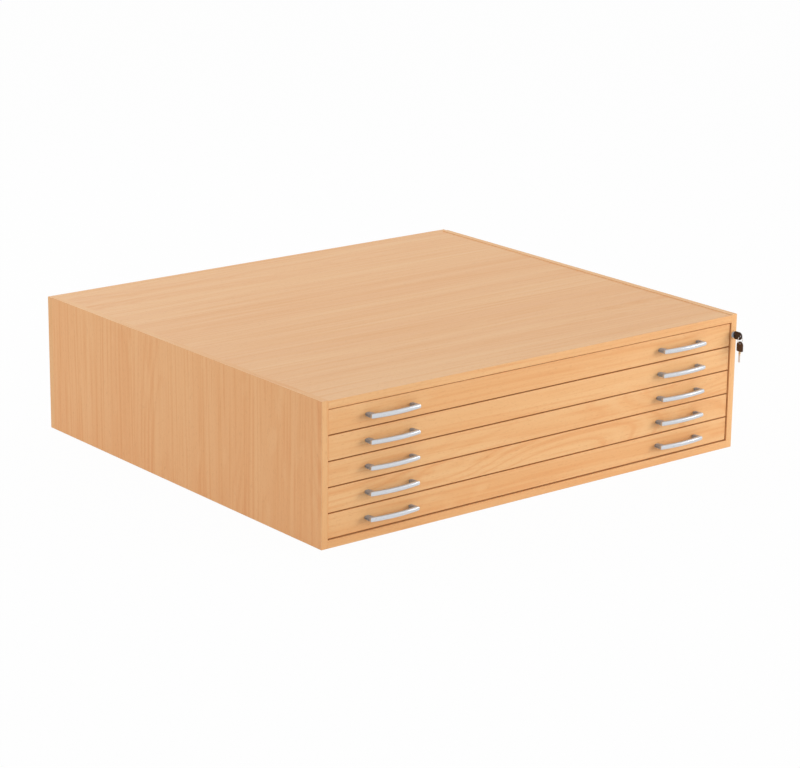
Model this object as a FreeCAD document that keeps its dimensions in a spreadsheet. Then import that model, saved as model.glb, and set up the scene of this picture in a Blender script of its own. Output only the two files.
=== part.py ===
import FreeCAD, Part
import os
import re
import Sketcher

# Plan chest of five shallow drawers, in millimetres.
# The origin lies on the floor under the middle of the case, +Z is up and the drawers open towards -Y.

DRAWER_COUNT = 5
NOTCH_COUNT = 3
TOUCHING = 0.001
STRAIGHT = 0.99

SIZES = {
    # Case boards
    "case_width": 1290,
    "case_depth": 1150,
    "side_board": 18,
    "top_board": 19,
    "bottom_board": 19,
    "side_proud": 1.5,
    "back_board": 18,
    "tongue_board": 6,
    "tongue_width": 20,
    "tongue_stop": 40,
    "tongue_play": 1,
    # Drawer fronts and boxes
    "front_height": 58.4,
    "front_board": 18,
    "front_gap": 2.5,
    "front_recess": 3.5,
    "runner_space": 13,
    "drawer_side": 12,
    "drawer_back": 12,
    "box_lift": 6,
    "box_headroom": 8,
    "base_board": 6,
    "base_lift": 6,
    "groove_depth": 6,
    "groove_play": 0.1,
    "base_edge_play": 0.5,
    "rear_space": 31,
    # Telescopic slides
    "rail_height": 35,
    "rail_steel": 1.2,
    "rail_rear_space": 62,
    "rail_setback": 70,
    "rail_mouth": 2,
    "rail_lip": 2.3,
    "race_play": 0.5,
    "web_play": 0.6,
    "hat_depth": 7,
    # Bow handles
    "handle_spacing": 128,
    "handle_leg": 13,
    "handle_bar": 7,
    "handle_height": 12,
    "handle_reach": 24,
    "handle_bow": 7,
    "handle_inset": 194,
    "handle_outer_round": 4,
    "handle_inner_round": 2.5,
    "handle_edge_chamfer": 0.8,
    # Lock cylinder and its cam
    "lock_diameter": 14,
    "lock_length": 28,
    "lock_bore_play": 0.1,
    "collar_diameter": 16,
    "collar_depth": 2.5,
    "collar_round": 1,
    "plug_diameter": 10,
    "plug_play": 0.1,
    "cam_depth": 2.6,
    "cam_play": 0.3,
    "crank_margin": 2,
    "crank_pin": 3,
    "crank_pin_reach": 6.5,
    "crank_tip_play": 0.5,
    # Locking bar, its pegs and guides, and the drawers' catches
    "bar_width": 9,
    "bar_depth": 10,
    "bar_play": 0.5,
    "bar_end_space": 10,
    "bar_foot_space": 22,
    "bar_head_space": 1.5,
    "slot_play": 0.3,
    "peg_diameter": 5,
    "peg_reach": 8.5,
    "peg_seat": 5,
    "peg_clearance": 1,
    "catch_steel": 2,
    "catch_reach": 9,
    "catch_height": 8,
    "catch_length": 22,
    "guide_steel": 2,
    "guide_height": 8,
    "guide_length": 26,
    "guide_clearance": 1,
    # Keys and key ring
    "blade_length": 29,
    "blade_width": 6,
    "blade_steel": 1.8,
    "blade_tip": 2.5,
    "blade_seat": 10,
    "blade_end_play": 1,
    "key_play": 0.2,
    "notch_depth": 1.4,
    "notch_pitch": 5,
    "notch_start": 6,
    "key_stand": 0.5,
    "head_length": 26,
    "head_width": 20,
    "head_thickness": 4,
    "head_shoulder_round": 3,
    "head_bow": 9,
    "eye_diameter": 4.6,
    "eye_margin": 5.5,
    "ring_radius": 8.5,
    "ring_wire": 1.4,
    "ring_depth": 1.8,
    "ring_play": 1,
}

# Places worked out from the sizes
CASE_HEIGHT = f"(top_board + bottom_board + {DRAWER_COUNT} * front_height + {DRAWER_COUNT + 1} * front_gap)"
SIDE_HEIGHT = f"({CASE_HEIGHT} + side_proud)"
FRONT_Y = "(-case_depth / 2)"
REAR_Y = "(case_depth / 2 - back_board)"
INNER_X = "(case_width / 2 - side_board)"
FRONT_FACE_Y = f"({FRONT_Y} + front_recess)"
FRONT_REAR_Y = f"({FRONT_FACE_Y} + front_board)"
BOX_X = f"({INNER_X} - runner_space)"
BOX_REAR_Y = f"({REAR_Y} - rear_space)"
BOX_TOP = "(front_height - box_headroom)"
BASE_Z = "(box_lift + base_lift)"
BASE_TOP = f"({BASE_Z} + base_board)"
RAIL_Z = "(box_lift + rail_height / 2)"
RAIL_REAR_Y = f"({REAR_Y} - rail_rear_space)"
RAIL_LENGTH = f"({RAIL_REAR_Y} - {FRONT_Y} - rail_setback)"
LOCK_X = "(case_width / 2 - side_board / 2)"
LOCK_Z = f"({CASE_HEIGHT} - top_board - front_gap - front_height / 2)"
CRANK_RADIUS = "(lock_diameter / 2 - crank_margin)"
CRANK_OFFSET = f"({CRANK_RADIUS} * sqrt(2) / 2)"
CAM_Y = f"({FRONT_Y} + lock_length + plug_play)"
CAM_REAR_Y = f"({CAM_Y} + cam_depth)"
BAR_Y = f"({CAM_REAR_Y} + bar_play)"
BAR_X = f"({INNER_X} + bar_play)"
PEG_Y = f"({BAR_Y} + bar_depth / 2)"
PEG_Z = f"({BOX_TOP} + peg_clearance + peg_diameter / 2)"
HEAD_Y = f"({FRONT_Y} - collar_depth - key_stand)"
EYE_REACH = "(head_length - eye_margin)"
EYE_Y = f"({HEAD_Y} - {EYE_REACH})"
WIRE_SEAT = "(eye_diameter / 2 - ring_wire / 2 - ring_play)"
RING_Z = f"({LOCK_Z} - {WIRE_SEAT} - ring_radius)"
SPARE_EYE_Z = f"({RING_Z} - ring_radius - {WIRE_SEAT})"

ALONG_X = FreeCAD.Rotation(FreeCAD.Vector(0, 1, 0), 90)
ALONG_Y = FreeCAD.Rotation(FreeCAD.Vector(1, 0, 0), -90)
UPRIGHT = FreeCAD.Rotation()
BLADE_DOWN = FreeCAD.Rotation(FreeCAD.Vector(1, 0, 0), -90)

doc = FreeCAD.newDocument("PlanChest")
nodes = []


def make_sheet():
    """The driving sizes as cells with aliases."""
    sheet = doc.addObject("Spreadsheet::Sheet", "Sizes")
    for row, (alias, value) in enumerate(SIZES.items(), start=1):
        sheet.set(f"A{row}", alias)
        sheet.set(f"B{row}", str(value))
        sheet.setAlias(f"B{row}", alias)
    doc.recompute()
    return sheet


def tied(formula):
    """A formula in size names, as an expression on the sheet's cells."""
    def cell(match):
        word = match.group()
        return f"Sizes.{word}" if word in SIZES else word
    return re.sub(r"[a-z_]+", cell, formula)


def number(formula):
    """The present value of a formula in size names."""
    return float(sheet.evalExpression(tied(formula)))


def tie(thing, **formulas):
    """Binds properties of a document object to formulas in size names."""
    for name, formula in formulas.items():
        thing.setExpression(name, tied(formula))
    return thing


def place(thing, corner, turn=UPRIGHT):
    """Turns a document object and binds its place."""
    thing.Placement = FreeCAD.Placement(FreeCAD.Vector(), turn)
    for axis, formula in zip("xyz", corner):
        thing.setExpression(f"Placement.Base.{axis}", tied(formula))
    return thing


def box(name, lengths, corner):
    """A board or a cutting block from its low corner."""
    block = doc.addObject("Part::Box", name)
    tie(block, Length=lengths[0], Width=lengths[1], Height=lengths[2])
    return place(block, corner)


def rod(name, radius, length, start, turn):
    """A cylinder from the middle of its low end."""
    cylinder = doc.addObject("Part::Cylinder", name)
    tie(cylinder, Radius=radius, Height=length)
    return place(cylinder, start, turn)


def group(name, members, corner=("0", "0", "0"), turn=UPRIGHT):
    """Solids kept together as one object, moved as one."""
    compound = doc.addObject("Part::Compound", name)
    compound.Links = list(members)
    return place(compound, corner, turn)


def mirrored(name, source):
    """The other hand of a piece, across the middle of the case."""
    copy = doc.addObject("Part::Mirroring", name)
    copy.Source = source
    copy.Normal = FreeCAD.Vector(1, 0, 0)
    return copy


def cut(name, base, tools):
    """A piece with every tool cut out of it."""
    tool = tools[0]
    if len(tools) > 1:
        tool = doc.addObject("Part::MultiFuse", f"{name}_tools")
        tool.Shapes = list(tools)
    result = doc.addObject("Part::Cut", name)
    result.Base = base
    result.Tool = tool
    doc.recompute()
    if result.Shape.Volume >= base.Shape.Volume:
        raise RuntimeError(f"{name} lost nothing to its cut")
    return result


def node(piece):
    """Marks a document object as a sub-part that gets a file."""
    piece.Label = piece.Name
    nodes.append(piece)
    return piece


def plane(body, role):
    """A body's own origin plane."""
    return next(feature for feature in body.Origin.OriginFeatures if feature.Role == role)


def outline(body, name, role, corners):
    """A closed sketch through corners given as formulas.

    Where the side that starts at a corner is an arc, the corner also gives the arc's bow, to the right of
    the chord if positive, and the sketch direction and place of the arc's centre.
    """
    sketch = body.newObject("Sketcher::SketchObject", name)
    sketch.AttachmentSupport = (plane(body, role), "")
    sketch.MapMode = "FlatFace"
    points = [FreeCAD.Vector(number(corner[0]), number(corner[1]), 0) for corner in corners]
    for index, corner in enumerate(corners):
        start = points[index]
        end = points[(index + 1) % len(points)]
        if len(corner) > 2:
            sketch.addGeometry(bowed(start, end, number(corner[2])))
        else:
            sketch.addGeometry(Part.LineSegment(start, end))
    firsts = [first_end(sketch, index, point) for index, point in enumerate(points)]
    for index, corner in enumerate(corners):
        before = index - 1 if index else len(corners) - 1
        joined = (before, 3 - firsts[before], index, firsts[index])
        sketch.addConstraint(Sketcher.Constraint("Coincident", *joined))
        bind(sketch, corner[0], "DistanceX", -1, 1, index, firsts[index])
        bind(sketch, corner[1], "DistanceY", -1, 1, index, firsts[index])
    for index, corner in enumerate(corners):
        if len(corner) > 2:
            bind(sketch, corner[4], corner[3], -1, 1, index, 3)
    return sketch


def first_end(sketch, index, point):
    """The number, 1 or 2, of the end of a sketch side that lies at a point."""
    if sketch.getPoint(index, 1).distanceToPoint(point) < sketch.getPoint(index, 2).distanceToPoint(point):
        return 1
    return 2


def bind(sketch, formula, kind, *places):
    """Adds a sketch dimension whose value follows a formula in size names."""
    index = sketch.addConstraint(Sketcher.Constraint(kind, *places, number(formula)))
    sketch.setExpression(f"Constraints[{index}]", tied(formula))


def bowed(start, end, bow):
    """An arc from start to end whose middle lies to the right of the chord by its bow."""
    chord = end - start
    outward = FreeCAD.Vector(chord.y, -chord.x, 0).normalize()
    middle = (start + end) * 0.5 + outward * bow
    return Part.Arc(start, middle, end)


def extrusion(name, role, corners, length, symmetric=False):
    """A body padded from one closed outline."""
    body = doc.addObject("PartDesign::Body", name)
    sketch = outline(body, f"{name}_outline", role, corners)
    pad = body.newObject("PartDesign::Pad", f"{name}_pad")
    pad.Profile = sketch
    pad.SideType = "Symmetric" if symmetric else "One side"
    tie(pad, Length=length)
    doc.recompute()
    return body


def ease_edges(body, name, kind, chosen, **size):
    """Fillets or chamfers the edges of a body's tip that a test picks."""
    base = body.Tip
    names = [f"Edge{index}" for index, edge in enumerate(base.Shape.Edges, start=1) if chosen(edge)]
    if not names:
        raise RuntimeError(f"{name} found no edge")
    feature = body.newObject(f"PartDesign::{kind}", name)
    feature.Base = (base, names)
    tie(feature, **size)
    doc.recompute()
    return feature


def pocket(body, name, sketch, length, symmetric=True):
    """Cuts a sketch out of a body and makes sure that something was cut."""
    before = body.Shape.Volume
    feature = body.newObject("PartDesign::Pocket", name)
    feature.Profile = sketch
    feature.SideType = "Symmetric" if symmetric else "One side"
    tie(feature, Length=length)
    doc.recompute()
    if body.Shape.Volume >= before:
        raise RuntimeError(f"{name} cut nothing")
    return feature


def circle_sketch(body, name, role, centre, diameter):
    """A bound circle on one of a body's origin planes."""
    sketch = body.newObject("Sketcher::SketchObject", name)
    sketch.AttachmentSupport = (plane(body, role), "")
    sketch.MapMode = "FlatFace"
    middle = FreeCAD.Vector(number(centre[0]), number(centre[1]), 0)
    sketch.addGeometry(Part.Circle(middle, FreeCAD.Vector(0, 0, 1), number(diameter) / 2))
    bind(sketch, centre[0], "DistanceX", -1, 1, 0, 3)
    bind(sketch, centre[1], "DistanceY", -1, 1, 0, 3)
    bind(sketch, diameter, "Diameter", 0)
    return sketch


def is_upright(edge):
    """True for a straight edge along Z."""
    start, end = edge.Vertexes[0].Point, edge.Vertexes[-1].Point
    return len(edge.Vertexes) == 2 and abs(end.z - start.z) > STRAIGHT * edge.Length


def front_floor(drawer):
    """The height of a drawer front's lower edge; drawer 1 is the top one."""
    return f"({CASE_HEIGHT} - top_board - {drawer} * (front_height + front_gap))"


def strips(name, play):
    """Loose tongues, or the grooves for them, across the right-hand joints of the top and bottom boards."""
    reach = f"(tongue_width / 2 + {play})"
    start_y = f"({FRONT_Y} + tongue_stop - {play})"
    lengths = (f"2 * {reach}", f"{REAR_Y} - tongue_stop + {play} - {start_y}", "tongue_board")
    levels = {"lower": "bottom_board / 2", "upper": f"{CASE_HEIGHT} - top_board / 2"}
    pair = []
    for level, middle in levels.items():
        corner = (f"{INNER_X} - {reach}", start_y, f"{middle} - tongue_board / 2")
        pair.append(box(f"{level}_{name}", lengths, corner))
    return group(f"right_{name}s", pair)


def make_case():
    """Sides, top, bottom and back, with the loose tongues that join them."""
    right_tongues = strips("tongue", "0")
    right_grooves = strips("groove", "tongue_play")
    left_grooves = mirrored("left_grooves", right_grooves)
    node(group("case_tongues", [right_tongues, mirrored("left_tongues", right_tongues)]))

    depth = "case_depth - back_board"
    across = (f"2 * {INNER_X}", depth)
    bottom = box("bottom_board_blank", (*across, "bottom_board"), (f"-{INNER_X}", FRONT_Y, "0"))
    node(cut("bottom_panel", bottom, [left_grooves, right_grooves]))
    top_z = f"{CASE_HEIGHT} - top_board"
    top = box("top_board_blank", (*across, "top_board"), (f"-{INNER_X}", FRONT_Y, top_z))
    node(cut("top_panel", top, [left_grooves, right_grooves]))

    side_lengths = ("side_board", depth, SIDE_HEIGHT)
    left = box("left_board_blank", side_lengths, ("-case_width / 2", FRONT_Y, "0"))
    node(cut("left_side_panel", left, [left_grooves]))
    right = box("right_board_blank", side_lengths, (INNER_X, FRONT_Y, "0"))
    bore_radius = "lock_diameter / 2 + lock_bore_play"
    bore_length = f"{CAM_REAR_Y} - {FRONT_Y}"
    bore = rod("lock_bore", bore_radius, bore_length, (LOCK_X, FRONT_Y, LOCK_Z), ALONG_Y)
    channel_lengths = ("bar_width + 2 * bar_play", "bar_depth + 2 * bar_play",
                       f"{CASE_HEIGHT} - top_board - bottom_board - bar_end_space")
    channel_corner = (INNER_X, f"{BAR_Y} - bar_play", "bottom_board + bar_end_space")
    channel = box("bar_channel", channel_lengths, channel_corner)
    node(cut("right_side_panel", right, [right_grooves, bore, channel]))

    back_lengths = ("case_width", "back_board", CASE_HEIGHT)
    node(box("back_panel", back_lengths, ("-case_width / 2", REAR_Y, "0")))


def rail_section(depth_from_case, outer_half, mouth):
    """A lipped channel open towards the drawer, as corners in X and Z about the slide's middle."""
    web = f"({INNER_X} - {depth_from_case})"
    web_face = f"({web} - rail_steel)"
    edge = f"({BOX_X} + {mouth})"
    lip_face = f"({edge} + rail_steel)"
    flange_face = f"({outer_half} - rail_steel)"
    lip_end = f"({flange_face} - rail_lip)"
    return [
        (web, f"-{outer_half}"),
        (web, outer_half),
        (edge, outer_half),
        (edge, lip_end),
        (lip_face, lip_end),
        (lip_face, flange_face),
        (web_face, flange_face),
        (web_face, f"-{flange_face}"),
        (lip_face, f"-{flange_face}"),
        (lip_face, f"-{lip_end}"),
        (edge, f"-{lip_end}"),
        (edge, f"-{outer_half}"),
    ]


def hat_section(brim_half, crown_half):
    """The drawer's own member: a crown against the drawer side and two brims inside the middle member."""
    crown = BOX_X
    crown_face = f"({BOX_X} + rail_steel)"
    brim = f"({BOX_X} + hat_depth)"
    brim_face = f"({brim} + rail_steel)"
    wall = f"({crown_half} - rail_steel)"
    return [
        (crown, f"-{crown_half}"),
        (brim, f"-{crown_half}"),
        (brim, f"-{brim_half}"),
        (brim_face, f"-{brim_half}"),
        (brim_face, f"-{wall}"),
        (crown_face, f"-{wall}"),
        (crown_face, wall),
        (brim_face, wall),
        (brim_face, brim_half),
        (brim, brim_half),
        (brim, crown_half),
        (crown, crown_half),
    ]


def make_slides():
    """The three nested members of the right-hand slide, each with its left-hand twin."""
    outer_half = "(rail_height / 2)"
    middle_half = f"({outer_half} - rail_steel - race_play)"
    brim_half = f"({middle_half} - rail_steel - race_play)"
    crown_half = f"({middle_half} - rail_steel - rail_lip - race_play)"
    middle_depth = "(rail_steel + web_play)"
    middle_mouth = "(rail_mouth + rail_steel + race_play)"
    sections = {
        "outer_rail": rail_section("0", outer_half, "rail_mouth"),
        "middle_rail": rail_section(middle_depth, middle_half, middle_mouth),
        "inner_rail": hat_section(brim_half, crown_half),
    }
    members = {}
    for name, section in sections.items():
        right = extrusion(name, "XZ_Plane", section, RAIL_LENGTH)
        place(right, ("0", RAIL_REAR_Y, RAIL_Z))
        members[name] = (mirrored(f"left_{name}", right), right)
    return members


def make_handle():
    """A bow handle whose legs stand on the front and whose bar bows away from it."""
    outer_x = "((handle_spacing + handle_leg) / 2)"
    inner_x = "((handle_spacing - handle_leg) / 2)"
    outer_radius = f"(({outer_x} ^ 2 + handle_bow ^ 2) / (2 * handle_bow))"
    inner_radius = f"({outer_radius} - handle_bar)"
    inner_bow = f"({inner_radius} - sqrt({inner_radius} ^ 2 - {inner_x} ^ 2))"
    outer_y = "(-handle_reach)"
    inner_y = f"(handle_bar + {inner_bow} - handle_reach - handle_bow)"
    centre = ("DistanceY", f"{outer_radius} - handle_reach - handle_bow")
    corners = [
        (f"-{outer_x}", "0"),
        (f"-{outer_x}", outer_y, "handle_bow", *centre),
        (outer_x, outer_y),
        (outer_x, "0"),
        (inner_x, "0"),
        (inner_x, inner_y, f"-{inner_bow}", *centre),
        (f"-{inner_x}", inner_y),
        (f"-{inner_x}", "0"),
    ]
    handle = extrusion("handle", "XY_Plane", corners, "handle_height", symmetric=True)
    ease_edges(handle, "handle_outer_knees", "Fillet", is_outer_knee, Radius="handle_outer_round")
    ease_edges(handle, "handle_inner_knees", "Fillet", is_inner_knee, Radius="handle_inner_round")
    ease_edges(handle, "handle_edges", "Chamfer", is_long_edge, Size="handle_edge_chamfer")
    return handle


def is_outer_knee(edge):
    """True for an upright edge where the outer face of a leg meets the bar."""
    start = edge.Vertexes[0].Point
    return is_upright(edge) and start.y < -TOUCHING and abs(start.x) > number("handle_spacing / 2")


def is_inner_knee(edge):
    """True for an upright edge where the inner face of a leg meets the bar."""
    start = edge.Vertexes[0].Point
    return is_upright(edge) and start.y < -TOUCHING and abs(start.x) < number("handle_spacing / 2")


def is_long_edge(edge):
    """True for an edge of the handle's upper or lower outline, apart from its feet."""
    points = [edge.valueAt(edge.FirstParameter), edge.valueAt(edge.LastParameter)]
    is_foot = all(abs(point.y) < TOUCHING for point in points)
    return not is_upright(edge) and not is_foot


def make_drawer_boards():
    """Front, sides, back and base of a drawer, with the lower edge of the front at zero height."""
    half_front = f"({INNER_X} - front_gap)"
    inside_x = f"({BOX_X} - drawer_side)"
    groove_x = f"({inside_x} + groove_depth)"
    groove_z = f"({BASE_Z} - groove_play)"
    groove_height = "base_board + 2 * groove_play"
    box_depth = f"{BOX_REAR_Y} - {FRONT_REAR_Y}"

    blank = box("front_blank", (f"2 * {half_front}", "front_board", "front_height"),
                (f"-{half_front}", FRONT_FACE_Y, "0"))
    groove = box("front_groove", (f"2 * {groove_x}", "groove_depth", groove_height),
                 (f"-{groove_x}", f"{FRONT_REAR_Y} - groove_depth", groove_z))
    front = cut("front", blank, [groove])

    side_blank = box("side_blank", ("drawer_side", box_depth, f"{BOX_TOP} - box_lift"),
                     (inside_x, FRONT_REAR_Y, "box_lift"))
    side_groove = box("side_groove", ("groove_depth", box_depth, groove_height),
                      (inside_x, FRONT_REAR_Y, groove_z))
    right = cut("right_side", side_blank, [side_groove])
    left = mirrored("left_side", right)

    back = box("back", (f"2 * {inside_x}", "drawer_back", f"{BOX_TOP} - {BASE_TOP}"),
               (f"-{inside_x}", f"{BOX_REAR_Y} - drawer_back", BASE_TOP))
    base_x = f"({groove_x} - base_edge_play)"
    base_y = f"({FRONT_REAR_Y} - groove_depth + base_edge_play)"
    base = box("base", (f"2 * {base_x}", f"{BOX_REAR_Y} - {base_y}", "base_board"),
               (f"-{base_x}", base_y, BASE_Z))
    return {"front": [front], "sides": [left, right], "back": [back], "base": [base]}


def make_handles():
    """The two handles of a drawer front."""
    handle = make_handle()
    pair = []
    for side, sign in (("left", "-"), ("right", "")):
        corner = (f"{sign}(case_width / 2 - handle_inset)", FRONT_FACE_Y, "front_height / 2")
        pair.append(group(f"{side}_handle", [handle], corner))
    return pair


def make_catch():
    """A bent angle on the right drawer side that the locking bar's peg stops."""
    strike_y = f"({PEG_Y} + peg_diameter / 2 + peg_clearance)"
    corners = [
        (BOX_X, strike_y),
        (f"{BOX_X} + catch_reach", strike_y),
        (f"{BOX_X} + catch_reach", f"{strike_y} + catch_steel"),
        (f"{BOX_X} + catch_steel", f"{strike_y} + catch_steel"),
        (f"{BOX_X} + catch_steel", f"{strike_y} + catch_length"),
        (BOX_X, f"{strike_y} + catch_length"),
    ]
    catch = extrusion("catch", "XY_Plane", corners, "catch_height")
    return place(catch, ("0", "0", f"{BOX_TOP} - catch_height"))


def make_drawers(slides):
    """Every drawer's boards, handles, inner rails and catch, and the rails that carry it."""
    pieces = make_drawer_boards()
    pieces["handles"] = make_handles()
    pieces["rails"] = slides["inner_rail"]
    pieces["catch"] = [make_catch()]
    case_rails = {"left": [], "right": []}
    for drawer in range(1, DRAWER_COUNT + 1):
        corner = ("0", "0", front_floor(drawer))
        for piece, members in pieces.items():
            node(group(f"drawer_{drawer}_{piece}", members, corner))
        node(group(f"middle_rails_{drawer}", slides["middle_rail"], corner))
        for side, rail in zip(case_rails, slides["outer_rail"]):
            case_rails[side].append(group(f"{side}_case_rail_{drawer}", [rail], corner))
    for side, rails in case_rails.items():
        node(group(f"{side}_case_rails", rails))


def turned(name, half_section, middle):
    """A body turned about Y from a half section of radius and depth."""
    body = doc.addObject("PartDesign::Body", name)
    sketch = outline(body, f"{name}_section", "XY_Plane", half_section)
    turning = body.newObject("PartDesign::Revolution", f"{name}_turning")
    turning.Profile = sketch
    turning.ReferenceAxis = (sketch, ["V_Axis"])
    turning.Angle = 360
    doc.recompute()
    return place(body, middle)


def make_lock():
    """The lock's housing in the edge of the right side, and the plug that turns in it with its crank pin."""
    mouth = (LOCK_X, FRONT_Y, LOCK_Z)
    bore = "plug_diameter / 2 + plug_play"
    barrel = "lock_diameter / 2"
    collar = "collar_diameter / 2"
    node(turned("lock_housing", [
        (bore, "-collar_depth"),
        (f"{collar} - collar_round", "-collar_depth"),
        (collar, "collar_round - collar_depth"),
        (collar, "0"),
        (barrel, "0"),
        (barrel, "lock_length"),
        (bore, "lock_length"),
    ], mouth))

    plug_radius = "plug_diameter / 2"
    cam_radius = "lock_diameter / 2 + lock_bore_play - cam_play"
    plug = turned("plug", [
        ("0", "-collar_depth"),
        (plug_radius, "-collar_depth"),
        (plug_radius, "lock_length + plug_play"),
        (cam_radius, "lock_length + plug_play"),
        (cam_radius, "lock_length + plug_play + cam_depth"),
        ("0", "lock_length + plug_play + cam_depth"),
    ], mouth)
    half_width = "(blade_steel / 2 + key_play)"
    half_height = "(blade_width / 2 + key_play)"
    keyway = outline(plug, "keyway", "XZ_Plane", [
        (f"-{half_width}", f"-{half_height}"),
        (half_width, f"-{half_height}"),
        (half_width, half_height),
        (f"-{half_width}", half_height),
    ])
    pocket(plug, "keyway_cut", keyway, "2 * (blade_length - key_stand - collar_depth + blade_end_play)")
    pin_start = (f"{LOCK_X} - {CRANK_OFFSET}", CAM_Y, f"{LOCK_Z} + {CRANK_OFFSET}")
    pin = rod("crank_pin_rod", "crank_pin / 2", "cam_depth + bar_play + crank_pin_reach", pin_start, ALONG_Y)
    whole = doc.addObject("Part::Fuse", "lock_plug")
    whole.Base = plug
    whole.Tool = pin
    node(whole)


def make_locking_bar():
    """The bar that slides in the right side, a peg for each drawer, and plates that hold it in."""
    bar_z = "(bottom_board + bar_foot_space)"
    bar_length = f"{CASE_HEIGHT} - top_board - bar_head_space - {bar_z}"
    blank = box("bar_blank", ("bar_width", "bar_depth", bar_length), (BAR_X, BAR_Y, bar_z))
    half_pin = "(crank_pin / 2 + slot_play)"
    slot_lengths = (f"{CRANK_RADIUS} - {CRANK_OFFSET} + 2 * {half_pin}", "crank_pin_reach + crank_tip_play",
                    f"2 * {half_pin}")
    slot_corner = (f"{LOCK_X} - {CRANK_RADIUS} - {half_pin}", BAR_Y,
                   f"{LOCK_Z} + {CRANK_OFFSET} - {half_pin}")
    slot = box("crank_slot", slot_lengths, slot_corner)
    pegs = []
    for drawer in range(1, DRAWER_COUNT + 1):
        start = (f"{BAR_X} - peg_reach", PEG_Y, f"{front_floor(drawer)} + {PEG_Z}")
        pegs.append(rod(f"peg_{drawer}", "peg_diameter / 2", "peg_reach + peg_seat", start, ALONG_X))
    node(cut("lock_bar", blank, [slot, *pegs]))
    node(group("lock_bar_pegs", pegs))

    plates = []
    for drawer in (1, DRAWER_COUNT - 1):
        plate_z = f"{front_floor(drawer)} + box_lift - guide_clearance - guide_height"
        plates.append(box(f"guide_{drawer}", ("guide_steel", "guide_length", "guide_height"),
                          (f"{INNER_X} - guide_steel", f"{PEG_Y} - guide_length / 2", plate_z)))
    node(group("lock_bar_guides", plates))


def make_key_blade():
    """A flat blade with notches along one edge, from its seat in the head to its tip."""
    half = "(blade_width / 2)"
    notches = []
    for index in range(NOTCH_COUNT):
        start = f"notch_start + {index} * notch_pitch"
        notches += [
            (start, f"-{half}"),
            (f"{start} + notch_depth", f"notch_depth - {half}"),
            (f"{start} + 2 * notch_depth", f"-{half}"),
        ]
    corners = [
        ("-blade_seat", f"-{half}"),
        *notches,
        ("blade_length - blade_tip", f"-{half}"),
        ("blade_length", "0"),
        ("blade_length - blade_tip", half),
        ("-blade_seat", half),
    ]
    return extrusion("blade", "YZ_Plane", corners, "blade_steel", symmetric=True)


def make_key_head():
    """A flat head with a round end, an eye for the ring and a seat for the blade."""
    half = "(head_width / 2)"
    round_start = "(head_bow - head_length)"
    centre = ("DistanceX", f"({half} ^ 2 + head_bow ^ 2) / (2 * head_bow) - head_length")
    head = extrusion("head", "YZ_Plane", [
        ("0", f"-{half}"),
        (round_start, f"-{half}", "-head_bow", *centre),
        (round_start, half),
        ("0", half),
    ], "head_thickness", symmetric=True)
    ease_edges(head, "head_shoulders", "Fillet", is_shoulder, Radius="head_shoulder_round")
    eye = circle_sketch(head, "eye", "YZ_Plane", (f"-{EYE_REACH}", "0"), "eye_diameter")
    pocket(head, "eye_cut", eye, "2 * head_thickness")
    seat = outline(head, "seat", "YZ_Plane", [
        ("-blade_seat", "-blade_width / 2"),
        ("head_shoulder_round", "-blade_width / 2"),
        ("head_shoulder_round", "blade_width / 2"),
        ("-blade_seat", "blade_width / 2"),
    ])
    pocket(head, "seat_cut", seat, "blade_steel")
    return head


def is_shoulder(edge):
    """True for an edge across the head's thickness at its straight end."""
    start, end = edge.Vertexes[0].Point, edge.Vertexes[-1].Point
    return abs(start.y) < TOUCHING and abs(end.y) < TOUCHING and abs(end.x - start.x) > STRAIGHT * edge.Length


def make_keys():
    """The key in the lock, the ring through its eye and the spare key that hangs from the ring."""
    pieces = {"blade": make_key_blade(), "head": make_key_head()}
    for piece, master in pieces.items():
        node(group(f"key_{piece}", [master], (LOCK_X, HEAD_Y, LOCK_Z)))
        spare_corner = (LOCK_X, EYE_Y, f"{SPARE_EYE_Z} - {EYE_REACH}")
        node(group(f"spare_key_{piece}", [master], spare_corner, BLADE_DOWN))
    node(turned("key_ring", [
        ("ring_radius - ring_wire / 2", "-ring_depth / 2"),
        ("ring_radius + ring_wire / 2", "-ring_depth / 2"),
        ("ring_radius + ring_wire / 2", "ring_depth / 2"),
        ("ring_radius - ring_wire / 2", "ring_depth / 2"),
    ], (LOCK_X, EYE_Y, RING_Z)))


def write_parts():
    """Checks every object and writes one file for each sub-part."""
    doc.recompute()
    for thing in doc.Objects:
        if "Invalid" in thing.State or "Error" in thing.State:
            raise RuntimeError(f"{thing.Label} failed: {thing.State}")
    for piece in nodes:
        if piece.Shape.isNull() or not piece.Shape.isValid() or not piece.Shape.Solids:
            raise RuntimeError(f"{piece.Label} has no valid solid")
    os.makedirs("parts", exist_ok=True)
    for piece in nodes:
        piece.Shape.exportStep(f"parts/{piece.Label}.step")
    print(f"{len(nodes)} sub-parts, {sum(len(piece.Shape.Solids) for piece in nodes)} solids")


sheet = make_sheet()
make_case()
make_drawers(make_slides())
make_lock()
make_locking_bar()
make_keys()
write_parts()
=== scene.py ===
import math
from collections import namedtuple

import bmesh
import bpy
from bpy.props import FloatProperty, FloatVectorProperty, PointerProperty
from bpy.types import Operator, Panel, PropertyGroup
from mathutils import Matrix, Vector


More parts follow.
